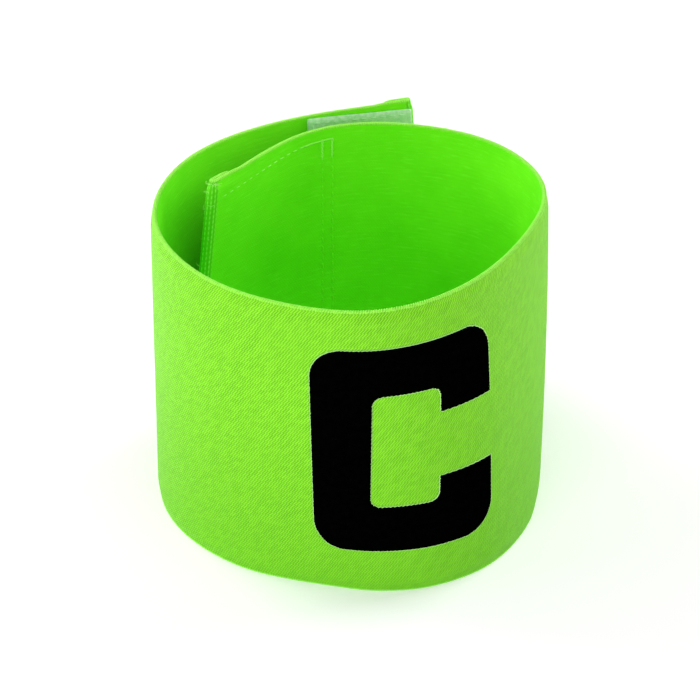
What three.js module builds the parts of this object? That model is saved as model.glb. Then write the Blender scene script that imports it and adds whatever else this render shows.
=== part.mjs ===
// A captain's armband: one woven elastic band, rolled into an open loop with its ends overlapped
// and stood on its lower edge. The outer end carries hook tape on its inner face, the inner end
// loop tape on its outer face, and each end is folded back into a hem. A block C, the common mark
// of a team's captain, lies on the front.
//
// Units are millimetres. +Z is up, -Y faces the front, and the origin is on the surface that the
// band stands on, under the middle of its box.

import * as THREE from 'three';

// The band
const bandLength = 329;
const bandWidth = 70;
const bandThickness = 1.3;
const hemLength = 6;
const hemStep = 0.2; // how far the raw edge of a hem slopes
const rimSoftness = 0.25; // how far the long edges are rounded off
const wallBow = 0.6; // how far the wall bows out between its two edges, at most
const seatGap = 0.3; // between the band and what lies on it

// Hook tape, on the inner face of the outer end
const hookLength = 25;
const hookThickness = 0.9;
const hookEndInset = 0.6;
const hookTopInset = 0.7; // below the band's top edge, at the tape's far end
const hookTopDrop = 1.3; // how much lower its top edge lies at the band's end
const hookBottomInset = 1.2;

// Loop tape, on the outer face of the inner end, next to the hem
const loopLength = 34;
const loopThickness = 1.1;
const loopTopInset = 1.4;
const loopBottomInset = 1.4;
const tapeSoftness = 0.15;

// The letter
const letterStart = 143.4; // from the outer end of the band to the letter's left edge
const letterWidth = 40.7;
const letterBottom = 11; // above the band's lower edge
const letterTop = 9; // below the band's upper edge
const letterStroke = 13; // width of the upright stroke and of the two ends
const letterBar = 11.3; // height of the top and bottom bars
const letterLip = 6; // how far the two ends turn towards each other
const letterCorner = 7;
const letterInnerCorner = 2.2;
const letterThickness = 0.5;

// How finely curved things are cut
const stationStep = 2.8;
const letterStep = 3;
const letterCells = 5; // across the letter's stroke
const pathSteps = 800;
const noseSteps = 4;
const cornerSteps = 5;

// The run of the band, from the outer end round to the inner end. at is a share of the band's
// length. heading is the way the top edge runs, in degrees from +X. lean is how far the wall tips
// outwards at the top, and rake how far it tips back along the band, in degrees. bow is the share
// of wallBow there.
const run = [
  { at: 0.0, heading: 198, lean: 0, rake: 4, bow: 0 },
  { at: 0.05, heading: 199, lean: 0, rake: 1.5, bow: 0 },
  { at: 0.1, heading: 210, lean: 0, rake: 0, bow: 0 },
  { at: 0.16, heading: 232, lean: -0.3, rake: 0, bow: 0 },
  { at: 0.24, heading: 264, lean: -0.6, rake: 0, bow: 0 },
  { at: 0.32, heading: 297, lean: 0.8, rake: 0, bow: 0.2 },
  { at: 0.38, heading: 321, lean: 2.6, rake: 0, bow: 0.4 },
  { at: 0.42, heading: 337, lean: 4.2, rake: 0, bow: 0.6 },
  { at: 0.45, heading: 351, lean: 4.2, rake: 0, bow: 0.7 },
  { at: 0.485, heading: 376, lean: 2.3, rake: 0, bow: 0.8 },
  { at: 0.52, heading: 397, lean: -0.5, rake: 0, bow: 0.9 },
  { at: 0.56, heading: 413, lean: -2.9, rake: 0, bow: 1 },
  { at: 0.61, heading: 424, lean: -2.6, rake: 0, bow: 1 },
  { at: 0.66, heading: 438, lean: -0.8, rake: 0, bow: 1 },
  { at: 0.72, heading: 470, lean: 0.2, rake: 0, bow: 1 },
  { at: 0.8, heading: 514, lean: 0, rake: 0, bow: 0.6 },
  { at: 0.84, heading: 534, lean: 0, rake: 0, bow: 0.4 },
  { at: 0.88, heading: 559, lean: -0.5, rake: 0, bow: 0.2 },
  { at: 0.92, heading: 586, lean: -2, rake: 0, bow: 0 },
  { at: 0.96, heading: 596, lean: -3.8, rake: -1, bow: 0 },
  { at: 1.0, heading: 591, lean: -5.5, rake: -3, bow: 0 },
];

const radians = THREE.MathUtils.degToRad;
const halfThickness = bandThickness / 2;

// Slope of one column of the run at one of its rows
function slopeAt(column, row) {
  const before = run[Math.max(row - 1, 0)];
  const here = run[row];
  const after = run[Math.min(row + 1, run.length - 1)];
  if (row === 0 || row === run.length - 1) {
    return (after[column] - before[column]) / (after.at - before.at);
  }
  const gapBefore = here.at - before.at;
  const gapAfter = after.at - here.at;
  const riseBefore = (here[column] - before[column]) / gapBefore;
  const riseAfter = (after[column] - here[column]) / gapAfter;
  return (riseBefore * gapAfter + riseAfter * gapBefore) / (gapBefore + gapAfter);
}

// Value of one column of the run at a share of the length, on a smooth curve through its rows
function columnAt(column, share) {
  const place = THREE.MathUtils.clamp(share, 0, 1);
  let row = 0;
  while (row < run.length - 2 && run[row + 1].at <= place) {
    row += 1;
  }
  const span = run[row + 1].at - run[row].at;
  const t = (place - run[row].at) / span;
  const startWeight = 2 * t ** 3 - 3 * t ** 2 + 1;
  const startSlope = (t ** 3 - 2 * t ** 2 + t) * span * slopeAt(column, row);
  const endSlope = (t ** 3 - t ** 2) * span * slopeAt(column, row + 1);
  return startWeight * run[row][column] + startSlope + (1 - startWeight) * run[row + 1][column] + endSlope;
}

// The top edge in plan: even steps along the band, each in the direction of the run there
function walkPath() {
  const step = bandLength / pathSteps;
  const points = [new THREE.Vector2(0, 0)];
  for (let i = 0; i < pathSteps; i += 1) {
    const heading = radians(columnAt('heading', (i + 0.5) / pathSteps));
    const last = points[i];
    points.push(new THREE.Vector2(last.x + step * Math.cos(heading), last.y + step * Math.sin(heading)));
  }
  return points;
}

const path = walkPath();

// Plan position at a distance along the band. Past either end it runs straight on.
function planAt(along) {
  const inside = THREE.MathUtils.clamp(along, 0, bandLength);
  const index = Math.min(Math.floor((inside / bandLength) * pathSteps), pathSteps - 1);
  const part = (inside / bandLength) * pathSteps - index;
  const spot = path[index].clone().lerp(path[index + 1], part);
  const heading = radians(columnAt('heading', inside / bandLength));
  const past = along - inside;
  spot.x += past * Math.cos(heading);
  spot.y += past * Math.sin(heading);
  return { spot, outward: new THREE.Vector2(Math.sin(heading), -Math.cos(heading)) };
}

// A point of the band: distance along it, height above its lower edge, and distance outwards from
// the middle of its thickness
function bandPoint(along, up, out) {
  const share = along / bandLength;
  const drop = bandWidth - up;
  const { spot, outward } = planAt(along - drop * Math.tan(radians(columnAt('rake', share))));
  const bow = wallBow * columnAt('bow', share) * (1 - ((2 * up) / bandWidth - 1) ** 2);
  const side = out + bow - drop * Math.tan(radians(columnAt('lean', share)));
  return new THREE.Vector3(spot.x + side * outward.x, spot.y + side * outward.y, up);
}

function evenSteps(from, to, step) {
  const count = Math.max(1, Math.round((to - from) / step));
  return Array.from({ length: count + 1 }, (_, i) => from + ((to - from) * i) / count);
}

// A closed wall that follows the band. Each station has its distance along the band and the places
// of its inner and outer faces. edges gives the heights of the wall's lower and upper edge there.
function wallGeometry(stations, edges, softness) {
  const last = stations.length - 1;
  const levels = [
    { share: 0, lift: 0, inset: softness },
    { share: 0, lift: softness, inset: 0 },
    { share: 1 / 3, lift: 0, inset: 0 },
    { share: 2 / 3, lift: 0, inset: 0 },
    { share: 1, lift: -softness, inset: 0 },
    { share: 1, lift: 0, inset: softness },
  ];
  const positions = [];
  for (const level of levels) {
    const inner = [];
    const outer = [];
    stations.forEach((station) => {
      const nearStart = Math.max(0, 1 - (station.along - stations[0].along) / hemLength);
      const nearEnd = Math.max(0, 1 - (stations[last].along - station.along) / hemLength);
      const along = station.along + level.inset * (nearStart - nearEnd);
      const { low, high } = edges(station.along);
      const up = low + (high - low) * level.share + level.lift;
      const inset = Math.min(level.inset, (station.outer - station.inner) / 4);
      inner.push(bandPoint(along, up, station.inner + inset));
      outer.unshift(bandPoint(along, up, station.outer - inset));
    });
    positions.push(...inner, ...outer);
  }
  const ring = 2 * stations.length;
  const faces = [];
  for (let level = 0; level < levels.length - 1; level += 1) {
    for (let k = 0; k < ring; k += 1) {
      const a = level * ring + k;
      const b = level * ring + ((k + 1) % ring);
      faces.push(a, b + ring, b, a, a + ring, b + ring);
    }
  }
  const top = (levels.length - 1) * ring;
  for (let i = 0; i < last; i += 1) {
    const j = ring - 1 - i;
    faces.push(i, i + 1, j - 1, i, j - 1, j);
    faces.push(top + i, top + j - 1, top + i + 1, top + i, top + j, top + j - 1);
  }
  const geometry = new THREE.BufferGeometry().setFromPoints(positions);
  geometry.setIndex(faces);
  return geometry;
}

// Stations of a hem's round fold, as distances from the end of the band
function noseStations(radius) {
  return Array.from({ length: noseSteps }, (_, i) => {
    const angle = (Math.PI / 2) * ((i + 0.6) / (noseSteps + 0.6));
    return { back: radius * (1 - Math.cos(angle)), half: radius * Math.sin(angle) };
  });
}

// The band itself. Both ends are folded once onto the outer face.
function bandSolid() {
  const foldMiddle = halfThickness;
  const hemOuter = halfThickness + bandThickness;
  const hem = noseStations(bandThickness).map(({ back, half }) => ({
    along: back,
    inner: foldMiddle - half,
    outer: foldMiddle + half,
  }));
  for (const along of evenSteps(bandThickness, hemLength, stationStep)) {
    hem.push({ along, inner: -halfThickness, outer: hemOuter });
  }
  const single = evenSteps(hemLength + hemStep, bandLength - hemLength - hemStep, stationStep);
  const stations = [
    ...hem,
    ...single.map((along) => ({ along, inner: -halfThickness, outer: halfThickness })),
    ...hem.map((station) => ({ ...station, along: bandLength - station.along })).reverse(),
  ];
  return wallGeometry(stations, () => ({ low: 0, high: bandWidth }), rimSoftness);
}

// The hook tape, whose top edge slopes down a little towards the band's end
function hookTape() {
  const outer = -halfThickness - seatGap;
  const start = hookEndInset;
  const stations = evenSteps(start, start + hookLength, stationStep).map((along) => ({
    along,
    inner: outer - hookThickness,
    outer,
  }));
  const edges = (along) => ({
    low: hookBottomInset,
    high: bandWidth - hookTopInset - hookTopDrop * (1 - (along - start) / hookLength),
  });
  return wallGeometry(stations, edges, tapeSoftness);
}

// The loop tape, from the raw edge of the inner end's hem
function loopTape() {
  const inner = halfThickness + seatGap;
  const end = bandLength - hemLength - hemStep - seatGap;
  const stations = evenSteps(end - loopLength, end, stationStep).map((along) => ({
    along,
    inner,
    outer: inner + loopThickness,
  }));
  const edges = () => ({ low: loopBottomInset, high: bandWidth - loopTopInset });
  return wallGeometry(stations, edges, tapeSoftness);
}

// The letter's two rails, flat, with x along the band and y up: its outer edge and its inner one,
// point for point, from the lower end of the C round to the upper end
function letterRails() {
  const left = letterStart;
  const right = letterStart + letterWidth;
  const low = letterBottom;
  const high = bandWidth - letterTop;
  const inset = { x: letterStroke, y: letterBar };
  const corners = [
    { x: right, y: low, sideX: -1, sideY: 1 },
    { x: left, y: low, sideX: 1, sideY: 1 },
    { x: left, y: high, sideX: 1, sideY: -1 },
    { x: right, y: high, sideX: -1, sideY: -1 },
  ];
  const arc = (corner, offset, radius, quarters) => {
    const angle = (-Math.PI / 2) * quarters;
    return new THREE.Vector2(
      corner.x + corner.sideX * (offset.x + radius) + radius * Math.cos(angle),
      corner.y + corner.sideY * (offset.y + radius) + radius * Math.sin(angle),
    );
  };
  const lipLow = low + letterBar + letterLip;
  const lipHigh = high - letterBar - letterLip;
  const ends = (y) => [new THREE.Vector2(right, y), new THREE.Vector2(right - letterStroke, y)];
  const rails = [ends(lipLow)];
  const straightTo = (outer, inner) => {
    const [lastOuter, lastInner] = rails[rails.length - 1];
    const count = Math.max(1, Math.round(lastOuter.distanceTo(outer) / letterStep));
    for (let i = 1; i <= count; i += 1) {
      rails.push([lastOuter.clone().lerp(outer, i / count), lastInner.clone().lerp(inner, i / count)]);
    }
  };
  corners.forEach((corner, quarter) => {
    for (let i = 0; i <= cornerSteps; i += 1) {
      const outer = arc(corner, { x: 0, y: 0 }, letterCorner, quarter + i / cornerSteps);
      const inner = arc(corner, inset, letterInnerCorner, quarter + i / cornerSteps);
      if (i === 0) {
        straightTo(outer, inner);
      } else {
        rails.push([outer, inner]);
      }
    }
  });
  straightTo(...ends(lipHigh));
  return rails;
}

// The letter: a plate with its cells between the two rails, laid round the band
function letterSolid() {
  const rails = letterRails();
  const row = letterCells + 1;
  const layer = rails.length * row;
  const back = halfThickness + seatGap;
  const positions = [];
  for (const out of [back, back + letterThickness]) {
    for (const [outer, inner] of rails) {
      for (let j = 0; j < row; j += 1) {
        const flat = outer.clone().lerp(inner, j / letterCells);
        positions.push(bandPoint(flat.x, flat.y, out));
      }
    }
  }
  const faces = [];
  const quad = (a, b, c, d) => faces.push(a, b, c, a, c, d);
  for (let i = 0; i < rails.length - 1; i += 1) {
    for (let j = 0; j < letterCells; j += 1) {
      const k = i * row + j;
      quad(k, k + row, k + row + 1, k + 1);
      quad(layer + k, layer + k + 1, layer + k + row + 1, layer + k + row);
    }
    const edge = i * row;
    quad(edge, layer + edge, layer + edge + row, edge + row);
    const far = edge + letterCells;
    quad(far, far + row, layer + far + row, layer + far);
  }
  const lastRow = (rails.length - 1) * row;
  for (let j = 0; j < letterCells; j += 1) {
    quad(j, j + 1, layer + j + 1, layer + j);
    quad(lastRow + j, layer + lastRow + j, layer + lastRow + j + 1, lastRow + j + 1);
  }
  const geometry = new THREE.BufferGeometry().setFromPoints(positions);
  geometry.setIndex(faces);
  return geometry;
}

function piece(name, geometry, color, roughness) {
  geometry.computeVertexNormals();
  const material = new THREE.MeshStandardMaterial({ color, roughness, metalness: 0 });
  const mesh = new THREE.Mesh(geometry, material);
  mesh.name = name;
  return mesh;
}

const armband = new THREE.Group();
armband.add(piece('band', bandSolid(), 0x82e63a, 0.85));
armband.add(piece('hook_tape', hookTape(), 0x9acf98, 0.6));
armband.add(piece('loop_tape', loopTape(), 0x6fd62f, 0.95));
armband.add(piece('captain_letter', letterSolid(), 0x0a0a0a, 0.9));

// The origin goes under the middle of the band's box
const box = new THREE.Box3().setFromObject(armband);
armband.position.set(-(box.min.x + box.max.x) / 2, -(box.min.y + box.max.y) / 2, -box.min.z);

export default armband;
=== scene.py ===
"""The looks of a captain's armband: a woven elastic band rolled into an open loop, with its two
tapes, its stitching and its block letter.

Shapes are worked out in millimetres, in the band's own measures: the distance along it from its
outer end, the height above its lower edge and the distance out from the middle of its thickness.
band_point turns these into the frame's coordinates, and meshes are stored in metres.
"""

import math
from collections import namedtuple

import bpy
import numpy as np
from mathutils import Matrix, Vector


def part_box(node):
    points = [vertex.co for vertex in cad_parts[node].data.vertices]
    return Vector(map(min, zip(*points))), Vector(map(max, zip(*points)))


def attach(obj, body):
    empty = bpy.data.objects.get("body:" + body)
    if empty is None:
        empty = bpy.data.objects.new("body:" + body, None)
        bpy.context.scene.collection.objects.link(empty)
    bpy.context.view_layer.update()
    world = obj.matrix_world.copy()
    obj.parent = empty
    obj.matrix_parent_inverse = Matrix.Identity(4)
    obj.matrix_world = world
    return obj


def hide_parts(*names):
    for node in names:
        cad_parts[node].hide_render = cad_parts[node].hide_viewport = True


MM = 0.001

# The band
LENGTH = 329.0
THICKNESS = 1.3
WALL_BOW = 0.6  # how far the wall bows out between its two edges, at most
HEM = 6.0
FOLD_GAP = 0.06  # between the two layers of a hem
CUT_EDGE = 1.8  # how far a hem's cut edge is pressed thin by its stitches
CUT_THINNING = 0.3
STATION = 2.2
FINE_STATION = 0.1
RIBS = 65
RIB_DEPTH = 0.03
RIM_STEPS = 7
EDGE_THICKNESS = 0.85  # of the woven edge, which lies flush with the inner face
EDGE_REACH = 2.6  # over which the outer face slopes down to it
HEM_REACH = 4.0  # over which the edge moves across, to lie against the hem's second layer
PATH_STEPS = 3200

# The weave: a slanted yarn every YARN along the band and every YARN_RISE up it
YARN = 0.64
YARN_RISE = 0.70
UNEVENNESS = 0.9  # how far the yarns wander, in yarns
RIB_OFFSET = 0.45  # how far they shift from rib to rib, in yarns
FOLD_YARN = 0.85  # the upright yarns that show beside a fold
FOLD_REACH = 1.8
FOLD_RELIEF = 0.06
WEFT_PITCH = 0.53  # of the yarns that turn back over the edges
WEFT_RADIUS = 0.13

# The tapes
HOOK_START = 0.25
HOOK_LENGTH = 25.0
HOOK_TOP = 0.7
HOOK_TOP_DROP = 1.3
HOOK_BOTTOM = 1.2
LOOP_LENGTH = 34.0
LOOP_INSET = 1.4
LOOP_GAP = 0.5  # between the loop tape and the hem
LOOP_END = LENGTH - HEM - LOOP_GAP
TAPE_THICKNESS = 0.45
TAPE_CORNER = 0.15
TAPE_SHEET_STEPS = 60
FACE_GAP = 0.03  # between the band's face and what is sewn or printed on it
HOOK_PITCH = 1.35  # from one row of hooks to the next
HOOK_RISE = 1.15  # from one hook in a row to the next
PILE_PITCH = 1.0

# The stitching
THREAD_RADIUS = 0.19
SEAM_GAP = 2.5  # between the two upright rows that end the loop tape
TACK = 4.0  # how far down the upright rows are sewn twice
TACK_LENGTH = 4.5  # how far the upper row is sewn twice, past the upright ones
SEAM_LOW = 1.2  # from the loop tape's lower edge to its seam
SEAM_HIGH = 1.7  # from its upper edge
SEAM_START = 2.3  # from its first end
SEAM_END = 1.4  # from the band's inner end
HEM_SEAM = 1.6  # from a hem's cut edge
HEM_SEAM_END = 1.5
TAPE_SEAM = 1.3  # from the end of a tape
HOOK_SEAM_EDGE = 1.2  # from the hook tape's upper and lower edge

# The letter
LETTER_START = 143.4
LETTER_WIDTH = 40.7
LETTER_BOTTOM = 11.0
LETTER_TOP = 9.0
LETTER_STROKE = 13.0
LETTER_BAR = 11.3
LETTER_LIP = 6.0
LETTER_CORNER = 7.0
LETTER_INNER_CORNER = 2.2
LETTER_HEIGHT = 0.16
LETTER_FOOT = 0.22  # how far the print's pale underside shows round its edge
LETTER_STEP = 0.35
LETTER_CELLS = 24

# The camera, matched to the rims in the photo
AIM_FROM_START = (-13.8, -53.8, 35.0)  # from the outer end of the band's top edge, at floor level
CAMERA_DISTANCE = 0.65
CAMERA_ELEVATION = 30.0
CAMERA_LENS = 153.0
SENSOR = 36.0

# The studio's soft lights: name, way round from the front and height in degrees, watts
LIGHT_SIZE = 0.3
LIGHT_DISTANCE = 0.5
FRONT_LIGHT = 1.2
FILL_LIGHT = 0.4
BACK_LIGHT = 0.85
WORLD_STRENGTH = 0.3
LIGHTS = [
    ("left", -80, 30, FILL_LIGHT),
    ("front", -20, 12, FRONT_LIGHT),
    ("top", 20, 60, FILL_LIGHT),
    ("left_back_high", -120, 40, BACK_LIGHT),
    ("left_back_low", -120, 20, BACK_LIGHT),
    ("right_back_high", 120, 40, BACK_LIGHT),
    ("right_back_low", 120, 20, BACK_LIGHT),
]

# The run of the band, from its outer end round to its inner end. at is a share of its length,
# heading is the way its top edge runs, in degrees from +X, lean is how far the wall tips outwards
# at the top, and rake how far it tips back along the band, in degrees. bow is the share of
# WALL_BOW there.
Row = namedtuple("Row", "at heading lean rake bow")
RUN = [
    Row(0.0, 198, 0, 4, 0),
    Row(0.05, 199, 0, 1.5, 0),
    Row(0.1, 210, 0, 0, 0),
    Row(0.16, 232, -0.3, 0, 0),
    Row(0.24, 264, -0.6, 0, 0),
    Row(0.32, 297, 0.8, 0, 0.2),
    Row(0.38, 321, 2.6, 0, 0.4),
    Row(0.42, 337, 4.2, 0, 0.6),
    Row(0.45, 351, 4.2, 0, 0.7),
    Row(0.485, 376, 2.3, 0, 0.8),
    Row(0.52, 397, -0.5, 0, 0.9),
    Row(0.56, 413, -2.9, 0, 1),
    Row(0.61, 424, -2.6, 0, 1),
    Row(0.66, 438, -0.8, 0, 1),
    Row(0.72, 470, 0.2, 0, 1),
    Row(0.8, 514, 0, 0, 0.6),
    Row(0.84, 534, 0, 0, 0.4),
    Row(0.88, 559, -0.5, 0, 0.2),
    Row(0.92, 586, -2, 0, 0),
    Row(0.96, 596, -3.8, -1, 0),
    Row(1.0, 591, -5.5, -3, 0),
]

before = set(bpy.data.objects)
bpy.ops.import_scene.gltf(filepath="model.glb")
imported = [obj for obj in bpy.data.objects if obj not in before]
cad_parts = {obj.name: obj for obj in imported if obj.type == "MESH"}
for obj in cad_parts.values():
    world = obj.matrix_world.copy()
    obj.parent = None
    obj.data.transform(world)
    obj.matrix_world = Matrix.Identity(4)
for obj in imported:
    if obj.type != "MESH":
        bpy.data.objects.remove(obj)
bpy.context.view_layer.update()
WIDTH = (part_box("band")[1].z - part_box("band")[0].z) / MM


def smooth_column(name):
    """A function that gives one column of the run at any share of the length."""
    at = np.array([row.at for row in RUN])
    value = np.array([getattr(row, name) for row in RUN], float)
    gap = np.diff(at)
    rise = np.diff(value) / gap
    slope = np.empty(len(RUN))
    slope[0], slope[-1] = rise[0], rise[-1]
    slope[1:-1] = (rise[:-1] * gap[1:] + rise[1:] * gap[:-1]) / (gap[1:] + gap[:-1])

    def column(share):
        place = np.clip(share, 0, 1)
        row = np.clip(np.searchsorted(at, place, side="right") - 1, 0, len(RUN) - 2)
        span = gap[row]
        t = (place - at[row]) / span
        first = 2 * t**3 - 3 * t**2 + 1
        bend = (t**3 - 2 * t**2 + t) * slope[row] + (t**3 - t**2) * slope[row + 1]
        return first * value[row] + (1 - first) * value[row + 1] + bend * span

    return column


HEADING = smooth_column("heading")
LEAN = smooth_column("lean")
RAKE = smooth_column("rake")
BOW = smooth_column("bow")


def walk_path():
    """The top edge in plan: even steps along the band, each in the direction of the run there."""
    middle = (np.arange(PATH_STEPS) + 0.5) / PATH_STEPS
    heading = np.radians(HEADING(middle))
    steps = np.stack([np.cos(heading), np.sin(heading)], 1) * LENGTH / PATH_STEPS
    return np.vstack([[0, 0], np.cumsum(steps, 0)])


PATH = walk_path()
PATH_AT = np.linspace(0, LENGTH, PATH_STEPS + 1)


def raw_point(along, up, out):
    """band_point before it is moved to the frame's origin."""
    along, up, out = np.broadcast_arrays(*(np.asarray(v, float) for v in (along, up, out)))
    drop = WIDTH - up
    place = along - drop * np.tan(np.radians(RAKE(along / LENGTH)))
    bow = WALL_BOW * BOW(along / LENGTH) * (1 - (2 * up / WIDTH - 1) ** 2)
    side = out + bow - drop * np.tan(np.radians(LEAN(along / LENGTH)))
    inside = np.clip(place, 0, LENGTH)
    heading = np.radians(HEADING(inside / LENGTH))
    past = place - inside
    x = np.interp(inside, PATH_AT, PATH[:, 0]) + past * np.cos(heading) + side * np.sin(heading)
    y = np.interp(inside, PATH_AT, PATH[:, 1]) + past * np.sin(heading) - side * np.cos(heading)
    return np.stack([x, y, up], -1)


def frame_shift():
    """How far the raw points move so that the band lies in the CAD node's box."""
    along = np.linspace(0, LENGTH, 1200)
    half = THICKNESS / 2
    sides = [raw_point(along, up, out) for up in np.linspace(0, WIDTH, 15) for out in (-half, half)]
    hems = [(along[along < HEM], half + THICKNESS), (along[along > LENGTH - HEM], half + THICKNESS)]
    sides += [raw_point(part, up, out) for part, out in hems for up in (0, WIDTH)]
    points = np.concatenate(sides)
    middle = (points.min(0) + points.max(0)) / 2
    low, high = (np.array(corner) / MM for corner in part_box("band"))
    return np.array([*((low + high) / 2 - middle)[:2], 0])


SHIFT = frame_shift()
CAMERA_AIM = tuple((SHIFT + AIM_FROM_START) * MM)
RIB = (WIDTH - THICKNESS) / RIBS


def band_point(along, up, out):
    """Points in the frame, in millimetres, of places on and near the band. The cloth isn't quite
    even: long shallow waves move it by about a tenth of a millimetre."""
    along, up = np.broadcast_arrays(np.asarray(along, float), np.asarray(up, float))
    wave = 0.10 * np.sin(along / 9.7 + up / 31) + 0.07 * np.sin(along / 5.3 - up / 17 + 1.3)
    return raw_point(along, up, out + wave) + SHIFT


def make_mesh(name, points, faces, material, slot, cloth=None):
    """A smooth-shaded object of these points, in millimetres. cloth holds, for each point, the
    place in the cloth that its pattern follows."""
    mesh = bpy.data.meshes.new(name)
    mesh.from_pydata((points * MM).tolist(), [], faces)
    mesh.update()
    mesh.polygons.foreach_set("use_smooth", np.ones(len(mesh.polygons), bool))
    if cloth is not None:
        attribute = mesh.attributes.new("cloth", "FLOAT_VECTOR", "POINT")
        attribute.data.foreach_set("vector", np.asarray(cloth, np.float32).ravel())
    mesh.materials.append(material)
    piece = bpy.data.objects.new(name, mesh)
    bpy.context.scene.collection.objects.link(piece)
    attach(piece, "root")
    return piece


def grid_faces(rows, columns, start=0, wrap=False, flip=False):
    """Quads of a grid of points numbered row by row. wrap joins its last column to its first."""
    i, j = np.meshgrid(np.arange(rows - 1), np.arange(columns if wrap else columns - 1), indexing="ij")
    a = start + i * columns + j
    b = start + i * columns + (j + 1) % columns
    quads = np.stack([a, b, b + columns, a + columns], -1).reshape(-1, 4)
    return (quads[:, ::-1] if flip else quads).tolist()


def plate_faces(rows, columns):
    """Faces of a closed plate whose upper and lower side are grids, numbered one after the other,
    and how many of them, at the end of the list, are on its edge."""
    layer = rows * columns
    faces = grid_faces(rows, columns) + grid_faces(rows, columns, layer, flip=True)
    border = [i * columns for i in range(rows)]
    border += [layer - columns + j for j in range(1, columns)]
    border += [i * columns + columns - 1 for i in reversed(range(rows - 1))]
    border += list(range(columns - 2, 0, -1))
    faces += [[a, b, b + layer, a + layer] for a, b in zip(border, border[1:] + border[:1])]
    return faces, len(border)


# Materials


class Nodes:
    """The nodes of one material, with short ways to add them."""

    def __init__(self, name):
        self.material = bpy.data.materials.new(name)
        self.material.use_nodes = True
        self.tree = self.material.node_tree
        self.shader = self.tree.nodes["Principled BSDF"]

    def add(self, kind, **inputs):
        node = self.tree.nodes.new(kind)
        for key, value in inputs.items():
            self.put(node.inputs[key.replace("_", " ")], value)
        return node

    def put(self, socket, value):
        if isinstance(value, bpy.types.NodeSocket):
            self.tree.links.new(value, socket)
        else:
            socket.default_value = value

    def math(self, operation, *values):
        node = self.tree.nodes.new("ShaderNodeMath")
        node.operation = operation
        for socket, value in zip(node.inputs, values):
            self.put(socket, value)
        return node.outputs[0]

    def spread(self, value, low, high, to_low=0.0, to_high=1.0):
        node = self.add("ShaderNodeMapRange", Value=value)
        for key, number in (("From Min", low), ("From Max", high), ("To Min", to_low), ("To Max", to_high)):
            node.inputs[key].default_value = number
        return node.outputs[0]

    def blend(self, factor, first, second):
        node = self.tree.nodes.new("ShaderNodeMix")
        node.data_type = "RGBA"
        self.put(node.inputs["Factor"], factor)
        for key, value in ((6, first), (7, second)):
            self.put(node.inputs[key], (*value, 1.0) if isinstance(value, tuple) else value)
        return node.outputs[2]

    def noise(self, vector, scale, detail=2.0, roughness=0.5):
        node = self.add("ShaderNodeTexNoise", Vector=vector, Scale=scale, Detail=detail, Roughness=roughness)
        return node.outputs["Fac"]

    def vector(self, x, y, z):
        return self.add("ShaderNodeCombineXYZ", X=x, Y=y, Z=z).outputs[0]

    def place(self):
        """The place in the cloth, as three numbers in millimetres, and as a vector."""
        node = self.tree.nodes.new("ShaderNodeAttribute")
        node.attribute_name = "cloth"
        split = self.add("ShaderNodeSeparateXYZ", Vector=node.outputs["Vector"])
        return (*split.outputs, node.outputs["Vector"])

    def bump(self, height, distance, strength=1.0, after=None):
        node = self.add("ShaderNodeBump", Height=height, Distance=distance, Strength=strength)
        if after is not None:
            self.put(node.inputs["Normal"], after)
        return node.outputs[0]

    def finish(self, color, normal=None, **constants):
        self.put(self.shader.inputs["Base Color"], (*color, 1.0) if isinstance(color, tuple) else color)
        if normal is not None:
            self.put(self.shader.inputs["Normal"], normal)
        for key, value in constants.items():
            self.shader.inputs[key.replace("_", " ")].default_value = value
        return self.material


def woven_face(n, x, y):
    """The woven face: height of its slanted yarns, from 0 to 1, the same of the ribs alone, and a
    number of its own for each crossing."""
    ribs = n.math("DIVIDE", n.math("SUBTRACT", y, THICKNESS / 2), RIB)
    yarns = n.math("SUBTRACT", n.math("DIVIDE", x, YARN), n.math("DIVIDE", y, YARN_RISE))
    uneven = n.noise(n.vector(x, y, 0.0), 0.22, 2.0)
    yarns = n.math("ADD", yarns, n.math("MULTIPLY", uneven, UNEVENNESS))
    yarns = n.math("ADD", yarns, n.math("MULTIPLY", n.math("FLOOR", ribs), RIB_OFFSET))
    chance = n.tree.nodes.new("ShaderNodeTexWhiteNoise")
    crossing = n.vector(n.math("FLOOR", yarns), n.math("FLOOR", ribs), 0.0)
    n.put(chance.inputs["Vector"], crossing)
    yarn_height = n.math("SINE", n.math("MULTIPLY", n.math("FRACT", yarns), math.pi))
    rib = n.math("SINE", n.math("MULTIPLY", n.math("FRACT", ribs), math.pi))
    return yarn_height, rib, chance.outputs["Value"]


def upright_yarns(n, x, y):
    """How near a place is to a fold, and how much it is on one of the upright yarns that show
    there, both from 0 to 1."""
    place = x
    for fold in FOLDS:
        extra = n.spread(x, fold - FOLD_ROUND, fold + FOLD_ROUND, 0.0, 2 * FOLD_ROUND * FOLD_STRETCH)
        place = n.math("ADD", place, extra)
    wave = n.spread(n.math("COSINE", n.math("MULTIPLY", place, 2 * math.pi / FOLD_YARN)), -0.1, 0.9)
    twist = n.math("SINE", n.math("ADD", n.math("MULTIPLY", y, 5.0), n.math("MULTIPLY", x, 2.2)))
    wave = n.math("MULTIPLY", wave, n.spread(twist, -1.0, 0.6, 0.35, 1.0))
    near = [
        n.spread(n.math("ABSOLUTE", n.math("SUBTRACT", x, fold)), FOLD_REACH, FOLD_REACH * 0.8)
        for fold in FOLDS
    ]
    near = n.math("MAXIMUM", *near)
    return near, n.math("MULTIPLY", wave, near)


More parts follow.
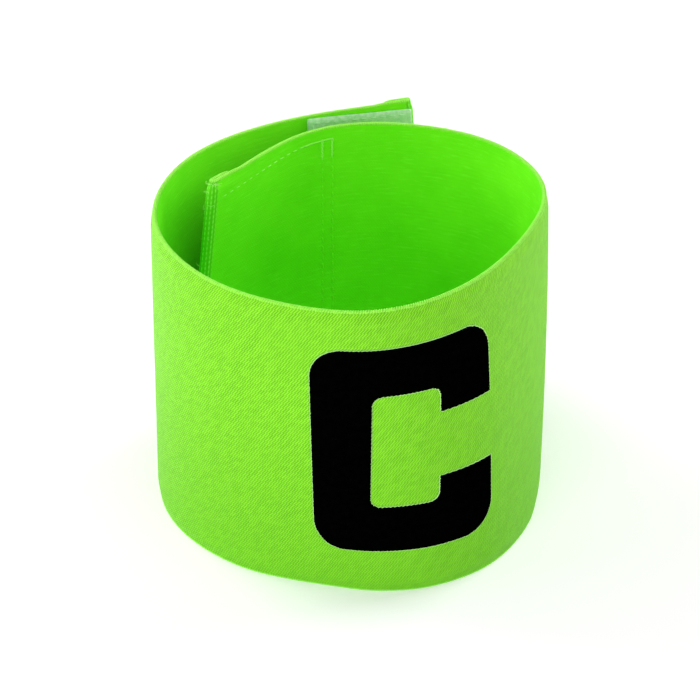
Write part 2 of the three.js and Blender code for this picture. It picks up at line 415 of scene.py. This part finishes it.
def outer_material():
    """The band's outer face: short slanted yarns, painted shade in the grooves of its ribs and towards its
    lower edge, and pale at the two edges, partly the paler edge yarns and partly a painted highlight on the
    rounded edge."""
    n = Nodes("woven_elastic")
    x, y = n.place()[:2]
    height, rib, chance = woven_face(n, x, y)
    patches = n.noise(n.vector(n.math("MULTIPLY", x, 0.12), n.math("MULTIPLY", y, 0.2), 0.0), 1.0, 3.0)
    tone = n.math("ADD", n.math("MULTIPLY", height, 0.8), n.math("MULTIPLY", chance, 0.2))
    # Painted shade: the tone is darkened in the grooves between the ribs.
    tone = n.math("MULTIPLY", tone, n.spread(rib, 0.0, 0.5, 0.90, 1.0))
    color = n.blend(n.spread(tone, 0.1, 0.9), (0.060, 0.340, 0.001), (0.275, 0.780, 0.022))
    color = n.blend(n.spread(patches, 0.35, 0.7, 0.0, 0.15), color, (0.200, 0.640, 0.014))
    yarn = upright_yarns(n, x, y)[1]
    color = n.blend(n.math("MULTIPLY", yarn, 0.7), color, (0.360, 0.930, 0.110))
    # Painted shade: below two thirds of its height the face turns towards a darker green, for the light
    # falling off lower down.
    color = n.blend(n.spread(y, 0.65 * WIDTH, 0.0, 0.0, 0.35), color, (0.090, 0.400, 0.003))
    # Partly painted highlight: the face is paler within half a millimetre of each edge, for light caught by
    # the rounded edge, and partly the paler edge yarns.
    from_middle = n.math("ABSOLUTE", n.math("SUBTRACT", y, WIDTH / 2))
    near_edge = n.spread(from_middle, WIDTH / 2 - 0.5, WIDTH / 2 - 0.3, 0.0, 0.6)
    color = n.blend(near_edge, color, (0.320, 0.860, 0.060))
    normal = n.bump(height, 0.00008, 0.8)
    return n.finish(
        color, normal, Roughness=0.75, Specular_IOR_Level=0.2, Sheen_Weight=0.12, Sheen_Roughness=0.4,
        Sheen_Tint=(0.8, 1.0, 0.6, 1.0),
    )


def inner_material():
    """The band's inner face: smoother, with faint lighter dashes where a yarn lies on top. It is the outer
    face's yarn, painted a more saturated green for light bounced about inside the loop, and painted darker
    near the folds for the shade there.
    """
    n = Nodes("woven_elastic_inner")
    x, y = n.place()[:2]
    height = woven_face(n, x, y)[0]
    dashes = n.noise(n.vector(n.math("MULTIPLY", x, 0.28), n.math("MULTIPLY", y, 1.9), 4.0), 1.0, 2.0, 0.5)
    patches = n.noise(n.vector(n.math("MULTIPLY", x, 0.09), n.math("MULTIPLY", y, 0.09), 9.0), 1.0, 3.0)
    # Painted light: the same yarn as the outer face, made a more saturated green to stand for light bounced
    # about inside the loop.
    color = n.blend(n.spread(patches, 0.3, 0.7), (0.150, 0.800, 0.005), (0.190, 0.870, 0.009))
    color = n.blend(n.spread(height, 0.0, 1.0, 0.0, 0.2), color, (0.150, 0.860, 0.012))
    color = n.blend(n.spread(dashes, 0.55, 0.72, 0.0, 0.5), color, (0.230, 0.920, 0.030))
    near_fold, yarn = upright_yarns(n, x, y)
    # Painted shade: darker near the folds, for the shadows between the upright yarns there.
    color = n.blend(n.math("MULTIPLY", near_fold, 0.5), color, (0.060, 0.480, 0.003))
    color = n.blend(n.math("MULTIPLY", yarn, 0.85), color, (0.330, 0.940, 0.100))
    normal = n.bump(n.math("ADD", n.math("MULTIPLY", height, 0.4), dashes), 0.00004, 0.6)
    return n.finish(color, normal, Roughness=0.8, Specular_IOR_Level=0.12)


def weft_material(name):
    """The yarns along the band's edges, paler than its faces: partly their own paler colour and partly a
    painted highlight on the rounded edge.
    """
    n = Nodes(name)
    place = n.place()[-1]
    fibres = n.noise(place, 3.0, 3.0, 0.6)
    # Partly painted highlight: these pale greens also stand for light caught by the rounded edge.
    color = n.blend(n.spread(fibres, 0.3, 0.7), (0.280, 0.840, 0.060), (0.420, 0.950, 0.150))
    return n.finish(color, n.bump(fibres, 0.00003, 0.6), Roughness=0.7, Specular_IOR_Level=0.2)


def hook_material():
    """Pale, slightly see-through hook tape."""
    n = Nodes("hook_plastic")
    place = n.place()[-1]
    cloudy = n.noise(place, 0.9, 4.0, 0.6)
    color = n.blend(n.spread(cloudy, 0.35, 0.65), (0.340, 0.770, 0.310), (0.600, 0.900, 0.550))
    normal = n.bump(n.noise(place, 4.0), 0.0001, 0.4)
    return n.finish(color, normal, Roughness=0.42, Specular_IOR_Level=0.4)


def loop_material():
    """Soft loop pile in the band's own green."""
    n = Nodes("loop_pile")
    place = n.place()[-1]
    tufts = n.noise(place, 2.2, 4.0, 0.65)
    color = n.blend(n.spread(tufts, 0.3, 0.7), (0.080, 0.500, 0.010), (0.240, 0.800, 0.050))
    normal = n.bump(tufts, 0.0004, 0.7)
    return n.finish(color, normal, Roughness=0.9, Specular_IOR_Level=0.15, Sheen_Weight=0.5)


def print_material():
    """Matte black print, through which the weave still shows."""
    n = Nodes("black_print")
    x, y, side, place = n.place()
    height = woven_face(n, x, y)[0]
    worn = n.noise(place, 0.7, 3.0)
    color = n.blend(n.spread(worn, 0.35, 0.7), (0.0002, 0.0002, 0.0003), (0.0006, 0.0006, 0.0007))
    normal = n.bump(height, 0.00005, 0.5)
    return n.finish(color, normal, Roughness=0.9, Specular_IOR_Level=0.0)


def pale_material(name, color):
    """The print's pale underside, which shows as a thin line round the letter, and loose fibres."""
    n = Nodes(name)
    return n.finish(color, Roughness=0.8, Specular_IOR_Level=0.2)


def thread_material(name, dark, light):
    """Sewing thread, with its twist."""
    n = Nodes(name)
    x, y, side, place = n.place()
    twist = n.math("SINE", n.math("MULTIPLY", n.math("ADD", n.math("ADD", x, y), side), 14.0))
    color = n.blend(n.spread(twist, -1.0, 1.0), dark, light)
    return n.finish(color, n.bump(twist, 0.00003, 0.5), Roughness=0.7, Specular_IOR_Level=0.1)


# The band


def ease(value):
    """0 at 0 and below, 1 at 1 and above, with a smooth way between."""
    value = np.clip(value, 0, 1)
    return value * value * (3 - 2 * value)


FOLD_RADIUS = (THICKNESS + FOLD_GAP) / 2  # of the middle of the cloth, round a fold
FOLD_ROUND = FOLD_RADIUS * math.pi / 2  # length of the cloth on each side of a fold that is bent
FOLD_STRETCH = THICKNESS / 2 / FOLD_RADIUS  # how much longer its outer side is there, as a share


def cloth_line():
    """The middle of the cloth from the cut edge of one hem to that of the other, at close steps:
    distance along the cloth, distance along the band, distance out, how thick the cloth is, as a
    share, and the way that its outer face looks, in the last two measures."""
    angle = np.linspace(math.pi / 2, 1.5 * math.pi, 25)
    fold = np.stack([FOLD_RADIUS + FOLD_RADIUS * np.cos(angle), FOLD_RADIUS + FOLD_RADIUS * np.sin(angle)], 1)
    hem = np.stack([np.linspace(HEM, FOLD_RADIUS, 60)[:-1], np.full(59, 2 * FOLD_RADIUS)], 1)
    first = np.vstack([hem, fold])
    middle = np.stack([np.linspace(FOLD_RADIUS, LENGTH - FOLD_RADIUS, 1200)[1:-1], np.zeros(1198)], 1)
    line = np.vstack([first, middle, (first * [-1, 1] + [LENGTH, 0])[::-1]])
    travel = np.concatenate([[0], np.cumsum(np.linalg.norm(np.diff(line, axis=0), axis=1))])
    way = np.gradient(line, travel, axis=0)
    way /= np.linalg.norm(way, axis=1, keepdims=True)
    from_cut = np.minimum(travel, travel[-1] - travel) / CUT_EDGE
    thick = CUT_THINNING + (1 - CUT_THINNING) * ease(from_cut)
    out = line[:, 1] - (1 - thick) * THICKNESS / 2
    return travel, line[:, 0], out, thick, -way[:, 1], way[:, 0]


CLOTH = cloth_line()
CLOTH_LENGTH = CLOTH[0][-1]
FOLD_PLACE = HEM + FOLD_ROUND - FOLD_RADIUS
FOLDS = (FOLD_PLACE, CLOTH_LENGTH - FOLD_PLACE)


def outer_travel(travel):
    """Distance along the side of the cloth that is on the outside of its folds."""
    extra = [
        np.interp(travel, [fold - FOLD_ROUND, fold + FOLD_ROUND], [0, 2 * FOLD_ROUND * FOLD_STRETCH])
        for fold in FOLDS
    ]
    return travel + sum(extra)


def cloth_point(travel, across, up):
    """Points in the frame of places on the folded cloth: distance along it, distance from its
    middle towards its outer face, and height."""
    along, out, thick, face_along, face_out = (np.interp(travel, CLOTH[0], column) for column in CLOTH[1:])
    across = across * thick
    return band_point(along + face_along * across, up, out + face_out * across)


def cloth_stations():
    """Places along the cloth where it is cut into rings: close together at the folds and the cut
    edges."""
    travel = [np.arange(0, CLOTH_LENGTH, STATION), np.arange(0, CUT_EDGE, 0.3)]
    travel.append(CLOTH_LENGTH - travel[-1])
    for fold in FOLDS:
        travel.append(np.arange(fold - FOLD_REACH, fold + FOLD_REACH, FINE_STATION))
    travel = np.sort(np.concatenate(travel))
    return travel[np.concatenate([[True], np.diff(travel) > FINE_STATION / 2])]


def cloth_section():
    """The cloth's section round its inner face, upper edge, outer face and lower edge: place across
    its thickness, height and how near the woven edge, from 0 to 1. Each rib of a face has a groove
    and two points on its back."""
    half, edge = THICKNESS / 2, EDGE_THICKNESS / 2
    rib = np.tile([0.0, 0.3, 0.7], RIBS) + np.repeat(np.arange(RIBS), 3)
    climb = half + RIB * np.append(rib, RIBS)
    climb[[0, -1]] = edge, WIDTH - edge
    relief = RIB_DEPTH * np.append(np.tile([1.0, 0.0, 0.0], RIBS), 1.0)
    relief[[0, -1]] = 0
    near_edge = ease(1 - (np.minimum(climb, WIDTH - climb) - edge) / EDGE_REACH)
    face = half - (THICKNESS - EDGE_THICKNESS) * near_edge - relief
    angle = np.linspace(math.pi, 0, RIM_STEPS + 2)[1:-1]
    top = np.stack([
        edge - half + edge * np.cos(angle), WIDTH - edge + edge * np.sin(angle), np.ones(RIM_STEPS)
    ], 1)
    low = top[::-1] * [1, -1, 1] + [0, WIDTH, 0]
    inner = np.stack([relief - half, climb, near_edge], 1)
    outer = np.stack([face, climb, near_edge], 1)[::-1]
    return np.vstack([inner, top, outer, low]), len(inner)


def edge_shift(travel):
    """How far the woven edge is moved across the cloth: all the way in the two hems."""
    reach = FOLDS[0] + HEM
    in_hem = ease((reach + HEM_REACH - np.minimum(travel, CLOTH_LENGTH - travel)) / HEM_REACH)
    return (THICKNESS - EDGE_THICKNESS) * in_hem


def make_band(outer_material, inner_material):
    travel = cloth_stations()
    section, face_points = cloth_section()
    near_fold = sum(ease(2 - 2 * np.abs(travel - fold) / FOLD_REACH) for fold in FOLDS)
    yarns = near_fold * FOLD_RELIEF * (np.cos(outer_travel(travel) * 2 * math.pi / FOLD_YARN) - 1)
    across = section[:, 0] + yarns[:, None] * np.tanh(section[:, 0] / EDGE_THICKNESS)
    across = across + edge_shift(travel)[:, None] * section[:, 2]
    points = cloth_point(travel[:, None], across, section[:, 1])
    rows, columns = points.shape[:2]
    faces = grid_faces(rows, columns, wrap=True, flip=True)
    last = (rows - 1) * columns
    faces += [list(range(columns)), [last + j for j in reversed(range(columns))]]
    cloth = np.stack(np.broadcast_arrays(travel[:, None], section[:, 1], section[:, 0]), -1)
    band = make_mesh(
        "woven_band", points.reshape(-1, 3), faces, outer_material, "elastic", cloth.reshape(-1, 3)
    )
    band.data.materials.append(inner_material)
    inner = np.arange(len(faces)) % columns < face_points - 1
    inner[-2:] = False
    band.data.polygons.foreach_set("material_index", inner.astype(np.int32))
    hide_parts("band")
    return band


def make_weft_turns(material):
    """The yarns that turn back over the band's two edges."""
    travel = np.arange(WEFT_PITCH / 2, CLOTH_LENGTH, WEFT_PITCH)
    random = np.random.default_rng(3)
    radius = EDGE_THICKNESS / 2 + random.uniform(-0.02, 0.04, travel.size)
    angle = np.linspace(-0.3, math.pi + 0.3, 7)
    across = (EDGE_THICKNESS - THICKNESS) / 2 + radius[:, None] * np.cos(angle)
    across = across + edge_shift(travel)[:, None]
    rise = radius[:, None] * np.sin(angle)
    lean = WEFT_PITCH * np.linspace(-0.5, 0.5, 7) * random.uniform(0.5, 1.3, travel.size)[:, None]
    lines = []
    for edge, side in ((WIDTH - EDGE_THICKNESS / 2, 1), (EDGE_THICKNESS / 2, -1)):
        lines.append(cloth_point(travel[:, None] + lean, across, edge + side * rise))
    points, faces = tube(np.concatenate(lines), WEFT_RADIUS, 5)
    return make_mesh("weft_turns", points, faces, material, "elastic", points)


def make_frayed_fibres(material):
    """Fine fibres that stand out of the fold at the inner end, mostly near its top."""
    random = np.random.default_rng(11)
    count = 34
    travel = FOLDS[1] + random.uniform(-1.0, 0.9, count)
    up = WIDTH - 0.3 - (WIDTH - 2) * random.uniform(0, 1, count) ** 3
    reach = random.uniform(0.3, 1.0, count)[:, None] * np.linspace(0, 1, 6)
    curl = random.uniform(-1.1, 1.1, (2, count))[:, :, None] * reach * np.linspace(0, 1, 6)
    line = cloth_point(travel[:, None] + curl[0], 0.05 - THICKNESS / 2 - reach, up[:, None] + curl[1])
    points, faces = tube(line, 0.045, 4)
    return make_mesh("frayed_fibres", points, faces, material, "elastic", points)


# The letter


def letter_rails():
    """The letter's outer and inner edge, point for point, as distance along the band and height."""
    left, right = LETTER_START, LETTER_START + LETTER_WIDTH
    low, high = LETTER_BOTTOM, WIDTH - LETTER_TOP
    corners = [
        (right, low, -1, 1, 0),
        (left, low, 1, 1, 90),
        (left, high, 1, -1, 180),
        (right, high, -1, -1, 270),
    ]
    steps = int(LETTER_CORNER * math.pi / 2 / LETTER_STEP)
    lip_low, lip_high = low + LETTER_BAR + LETTER_LIP, high - LETTER_BAR - LETTER_LIP
    outer, inner = [(right, lip_low)], [(right - LETTER_STROKE, lip_low)]

    def straight_to(outer_end, inner_end):
        count = max(1, round(math.dist(outer[-1], outer_end) / LETTER_STEP))
        for rail, end in ((outer, outer_end), (inner, inner_end)):
            start = np.array(rail[-1])
            rail += [tuple(start + (np.array(end) - start) * k / count) for k in range(1, count + 1)]

    for x, y, side_x, side_y, turned in corners:
        arcs = []
        for inset_x, inset_y, radius in (
            (0, 0, LETTER_CORNER),
            (LETTER_STROKE, LETTER_BAR, LETTER_INNER_CORNER),
        ):
            angle = np.radians(-turned - np.linspace(0, 90, steps + 1))
            middle = (x + side_x * (inset_x + radius), y + side_y * (inset_y + radius))
            arcs.append([(middle[0] + radius * math.cos(a), middle[1] + radius * math.sin(a)) for a in angle])
        straight_to(arcs[0][0], arcs[1][0])
        outer += arcs[0][1:]
        inner += arcs[1][1:]
    straight_to((right, lip_high), (right - LETTER_STROKE, lip_high))
    return np.array(outer), np.array(inner)


def letter_flare(flat):
    """For each place on the letter's edge, the way straight out of the letter."""
    flare = np.zeros_like(flat)
    flare[:, 0] = flat[:, 0] - flat[:, 1]
    flare[:, -1] = flat[:, -1] - flat[:, -2]
    flare[0, 1:-1] = (flat[0] - flat[1])[1:-1]
    flare[-1, 1:-1] = (flat[-1] - flat[-2])[1:-1]
    return flare / np.maximum(np.linalg.norm(flare, axis=2, keepdims=True), 1e-9)


def make_letter(material, edge_material):
    outer, inner = letter_rails()
    share = np.linspace(0, 1, LETTER_CELLS + 1)
    flat = outer[:, None] + (inner - outer)[:, None] * share[None, :, None]
    rows, columns = flat.shape[:2]
    rim = np.ones((rows, columns))
    rim[[0, -1]] = 0
    rim[:, [0, -1]] = 0
    ragged = 0.07 * np.sin(flat[..., 1] * 2 * math.pi / 0.62 + np.sin(flat[..., 0] * 7.3))
    ragged += 0.05 * np.sin(flat[..., 0] * 2 * math.pi / 0.88 + 3 * np.sin(flat[..., 1] * 3.1))
    flat = flat + (1 - rim)[..., None] * ragged[..., None]
    face = THICKNESS / 2 + FACE_GAP
    top = band_point(flat[..., 0], flat[..., 1], face + LETTER_HEIGHT * (0.35 + 0.65 * rim))
    foot = flat + LETTER_FOOT * letter_flare(flat)
    base = band_point(foot[..., 0], foot[..., 1], face)
    points = np.concatenate([top.reshape(-1, 3), base.reshape(-1, 3)])
    faces, edge_count = plate_faces(rows, columns)
    cloth = np.concatenate([flat, 0 * flat[..., :1]], -1).reshape(-1, 3)
    cloth = np.concatenate([cloth, cloth])
    letter = make_mesh("printed_letter", points, faces, material, "letter_print", cloth)
    letter.data.materials.append(edge_material)
    on_edge = np.arange(len(faces)) >= len(faces) - edge_count
    letter.data.polygons.foreach_set("material_index", on_edge.astype(np.int32))
    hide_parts("captain_letter")
    return letter


# The tapes


def tape_sheet(start, end, low, high, inner, outer):
    """Points and faces of a thin plate with round corners, laid along the band. high is a function
    of the distance along it."""
    along = np.linspace(start, end, int((end - start) / 0.5))
    share = np.linspace(0, 1, TAPE_SHEET_STEPS)
    near = np.clip(TAPE_CORNER - np.minimum(along - start, end - along), 0, TAPE_CORNER)
    inset = TAPE_CORNER - np.sqrt(TAPE_CORNER**2 - near**2)
    up = (low + inset)[:, None] + (high(along) - low - 2 * inset)[:, None] * share[None]
    layers = [band_point(along[:, None], up, out).reshape(-1, 3) for out in (outer, inner)]
    faces, edge_count = plate_faces(len(along), len(share))
    cloth = np.stack(np.broadcast_arrays(along[:, None], up, 0.0), -1).reshape(-1, 3)
    return np.concatenate(layers), faces, np.concatenate([cloth, cloth])


def tube(line, radius, sides):
    """Points and faces of a tube with closed ends round each of many short lines at once. line has
    the shape (tubes, steps, 3), and its ends taper to a tip."""
    many, steps = line.shape[:2]
    way = np.gradient(line, axis=1)
    way /= np.linalg.norm(way, axis=2, keepdims=True)
    across = np.cross(way, np.broadcast_to([0.31, 0.17, 0.93], way.shape))
    across /= np.linalg.norm(across, axis=2, keepdims=True)
    other = np.cross(way, across)
    angle = 2 * math.pi * np.arange(sides) / sides
    size = np.full(steps, radius)
    size[[0, -1]] = radius * 0.35
    ring = np.cos(angle)[:, None] * across[:, :, None] + np.sin(angle)[:, None] * other[:, :, None]
    points = line[:, :, None] + ring * size[None, :, None, None]
    one = grid_faces(steps, sides, wrap=True)
    one += [list(reversed(range(sides))), [(steps - 1) * sides + j for j in range(sides)]]
    count = steps * sides
    faces = [[k * count + v for v in face] for k in range(many) for face in one]
    return points.reshape(-1, 3), faces


def joined(parts):
    """Several (points, faces, cloth) as one."""
    points, faces, cloth, start = [], [], [], 0
    for some, ring, place in parts:
        points.append(some)
        cloth.append(place)
        faces += [[v + start for v in face] for face in ring]
        start += len(some)
    return np.concatenate(points), faces, np.concatenate(cloth)


def hook_top(along):
    """Height of the hook tape's top edge, which slopes down towards the band's end."""
    return WIDTH - HOOK_TOP - HOOK_TOP_DROP * (1 - (along - HOOK_START) / HOOK_LENGTH)


def make_hook_tape(material):
    face = -THICKNESS / 2 - FACE_GAP
    sheet = tape_sheet(
        HOOK_START, HOOK_START + HOOK_LENGTH, HOOK_BOTTOM, hook_top, face - TAPE_THICKNESS, face
    )
    along, up = np.meshgrid(
        np.arange(HOOK_START + 2.6, HOOK_START + HOOK_LENGTH - 2, HOOK_PITCH),
        np.arange(HOOK_BOTTOM + 2.6, WIDTH - 4.2, HOOK_RISE), indexing="ij",
    )
    row = np.arange(along.size) % along.shape[1] % 2
    along, up = along.ravel() + 0.3 * row, up.ravel()
    bend = np.array([[0, 0], [0, 0.35], [0.03, 0.6], [0.18, 0.78], [0.38, 0.76], [0.5, 0.6]])
    lean = np.where(row == 1, 1, -1)[:, None]
    line = band_point(
        along[:, None] + lean * bend[None, :, 0],
        up[:, None],
        face - TAPE_THICKNESS - bend[None, :, 1],
    )
    points, faces = tube(line, 0.1, 4)
    tape = joined([sheet, (points, faces, points)])
    piece = make_mesh("hook_tape_sheet", *tape[:2], material, "hook_tape", tape[2])
    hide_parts("hook_tape")
    return piece


def make_loop_tape(material):
    face = THICKNESS / 2 + FACE_GAP
    top = WIDTH - LOOP_INSET
    start = LOOP_END - LOOP_LENGTH
    sheet = tape_sheet(
        start, LOOP_END, LOOP_INSET, lambda along: 0 * along + top, face, face + TAPE_THICKNESS
    )
    random = np.random.default_rng(7)
    along, up = np.meshgrid(
        np.arange(start + 1, LOOP_END - 0.8, PILE_PITCH),
        np.arange(LOOP_INSET + 1, top - 0.8, PILE_PITCH),
    )
    along = along.ravel() + random.uniform(-0.4, 0.4, along.size)
    up = up.ravel() + random.uniform(-0.4, 0.4, up.size)
    turn = random.uniform(0, math.pi, along.size)
    size = random.uniform(0.3, 0.55, along.size)
    arc = np.linspace(0, math.pi, 6)
    across = size[:, None] * np.cos(arc)[None]
    line = band_point(
        along[:, None] + across * np.cos(turn)[:, None],
        up[:, None] + across * np.sin(turn)[:, None],
        face + TAPE_THICKNESS + 1.1 * size[:, None] * np.sin(arc)[None],
    )
    points, faces = tube(line, 0.07, 3)
    tape = joined([sheet, (points, faces, points)])
    piece = make_mesh("loop_tape_pile", *tape[:2], material, "loop_tape", tape[2])
    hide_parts("loop_tape")
    return piece


# The stitching


def stitch_row(start, end, out, side, pitch=2.2, length=1.6, rise=0.6):
    """Lines of the stitches of one row, from one place on the band to another. out is the face
    they lie on, side is 1 on the outer face and -1 on the inner one, and rise is how far a stitch
    stands out, in its own radius."""
    start, end = np.array(start, float), np.array(end, float)
    span = np.linalg.norm(end - start)
    count = max(1, round(span / pitch))
    way = (end - start) / span
    middle = start + way * (span / count) * (np.arange(count)[:, None] + 0.5)
    reach = np.linspace(-length / 2, length / 2, 7)
    arch = THREAD_RADIUS * ((1 + rise) * np.cos(np.linspace(-math.pi / 2, math.pi / 2, 7)) - 1)
    place = middle[:, None] + reach[None, :, None] * way
    return band_point(place[..., 0], place[..., 1], out + side * arch[None])


def thread_mesh(name, rows, material, slot):
    points, faces = tube(np.concatenate(rows), THREAD_RADIUS, 6)
    return make_mesh(name, points, faces, material, slot, points)


def make_stitches(pale, green, clear):
    """The seams: pale where they are sewn twice and along the top, and drawn deep elsewhere."""
    half = THICKNESS / 2
    hem_face = half + THICKNESS + FOLD_GAP
    low, high = LOOP_INSET + SEAM_LOW, WIDTH - LOOP_INSET - SEAM_HIGH
    start, end = LOOP_END - LOOP_LENGTH + SEAM_START, LENGTH - SEAM_END
    tack_end = start + SEAM_GAP + TACK_LENGTH
    rows = [start, start + SEAM_GAP]
    sag = [(tack_end, high - 0.1), ((tack_end + end) / 2, high - 1.2), (end - 1, high - 1.6)]
    bright = [stitch_row(*part, -half, -1, rise=rise) for *part, rise in zip(sag, sag[1:], (-0.2, -0.5))]
    for shift in (0, 0.6):
        corner = (start - 0.2 + shift, high + 0.2), (tack_end + shift, high - 0.1)
        bright.append(stitch_row(*corner, -half, -1, pitch=1.25, length=1.15, rise=0.7))
        for along in rows:
            tack = (along + shift / 3, high + 0.3 - shift), (along + shift / 3, high - TACK - shift)
            bright.append(stitch_row(*tack, -half, -1, pitch=1.1, length=1.3, rise=1.3))
    deep = [stitch_row((along, low), (along, high - TACK), -half, -1, rise=0.25) for along in rows]
    deep.append(stitch_row((start, low), (end, low), -half, -1, rise=0.3))
    face = half + TAPE_THICKNESS
    for along in rows:
        deep.append(stitch_row((along, low), (along, high), face, 1))
    for up in (low, high):
        deep.append(stitch_row((start, up), (LOOP_END - TAPE_SEAM, up), face, 1))
    for along in (HEM - HEM_SEAM, LENGTH - HEM + HEM_SEAM):
        ends = (along, HEM_SEAM_END), (along, WIDTH - HEM_SEAM_END)
        deep.append(stitch_row(*ends, hem_face, 1))
    hook_end = HOOK_START + HOOK_LENGTH - TAPE_SEAM
    hook_low = HOOK_BOTTOM + HOOK_SEAM_EDGE
    pressed = []
    sides = ((half, 1, HEM + 1, deep), (-half - TAPE_THICKNESS, -1, HOOK_START + TAPE_SEAM, pressed))
    for face, side, first, seam in sides:
        upper = [(along, hook_top(along) - HOOK_SEAM_EDGE) for along in (first, hook_end)]
        seam.append(stitch_row(*upper, face, side, rise=0.3))
        seam.append(stitch_row((first, hook_low), (hook_end, hook_low), face, side, rise=0.3))
        seam.append(stitch_row((hook_end, hook_low), upper[1], face, side, rise=0.3))
    thread_mesh("tack_stitches", bright, pale, "elastic")
    thread_mesh("seam_stitches", deep, green, "elastic")
    thread_mesh("hook_tape_stitches", pressed, clear, "hook_tape")


# The surroundings


def make_floor():
    n = Nodes("pale_floor")
    n.finish(
        (0.93, 0.93, 0.93), Roughness=0.9, Specular_IOR_Level=0.1, Emission_Strength=0.14,
        Emission_Color=(1, 1, 1, 1),
    )
    mesh = bpy.data.meshes.new("floor")
    mesh.from_pydata([(-4, -4, 0), (4, -4, 0), (4, 4, 0), (-4, 4, 0)], [], [(0, 1, 2, 3)])
    mesh.materials.append(n.material)
    floor = bpy.data.objects.new("floor", mesh)
    bpy.context.scene.collection.objects.link(floor)


def add_light(name, turn, climb, power):
    """A square soft light, aimed at the middle of the band."""
    data = bpy.data.lights.new(name, "AREA")
    data.shape, data.size, data.energy = "SQUARE", LIGHT_SIZE, power
    light = bpy.data.objects.new(name, data)
    turn, climb = math.radians(turn), math.radians(climb)
    way = (math.sin(turn) * math.cos(climb), -math.cos(turn) * math.cos(climb), math.sin(climb))
    back = Vector(way)
    light.location = Vector(CAMERA_AIM) + back * LIGHT_DISTANCE
    light.rotation_euler = (-back).to_track_quat("-Z", "Y").to_euler()
    light.visible_camera = False
    bpy.context.scene.collection.objects.link(light)


def make_studio():
    world = bpy.data.worlds.new("studio")
    world.use_nodes = True
    background = world.node_tree.nodes["Background"]
    background.inputs["Color"].default_value = (1, 1, 1, 1)
    background.inputs["Strength"].default_value = WORLD_STRENGTH
    bpy.context.scene.world = world
    for light in LIGHTS:
        add_light(*light)


def make_camera():
    data = bpy.data.cameras.new("camera")
    data.lens, data.sensor_width = CAMERA_LENS, SENSOR
    camera = bpy.data.objects.new("camera", data)
    tip = math.radians(CAMERA_ELEVATION)
    back = Vector((0, -math.cos(tip), math.sin(tip)))
    camera.location = Vector(CAMERA_AIM) + back * CAMERA_DISTANCE
    camera.rotation_euler = (-back).to_track_quat("-Z", "Y").to_euler()
    bpy.context.scene.collection.objects.link(camera)
    bpy.context.scene.camera = camera


bpy.context.scene.view_settings.view_transform = "Standard"
make_camera()
make_studio()
make_floor()
make_band(outer_material(), inner_material())
make_weft_turns(weft_material("weft_yarn"))
make_letter(print_material(), pale_material("print_underside", (0.420, 0.820, 0.220)))
make_hook_tape(hook_material())
make_loop_tape(loop_material())
make_frayed_fibres(pale_material("frayed_yarn", (0.480, 0.960, 0.200)))
make_stitches(
    thread_material("pale_thread", (0.270, 0.880, 0.070), (0.380, 0.940, 0.140)),
    thread_material("green_thread", (0.190, 0.880, 0.012), (0.230, 0.930, 0.024)),
    thread_material("clear_thread", (0.460, 0.840, 0.430), (0.560, 0.900, 0.530)),
)
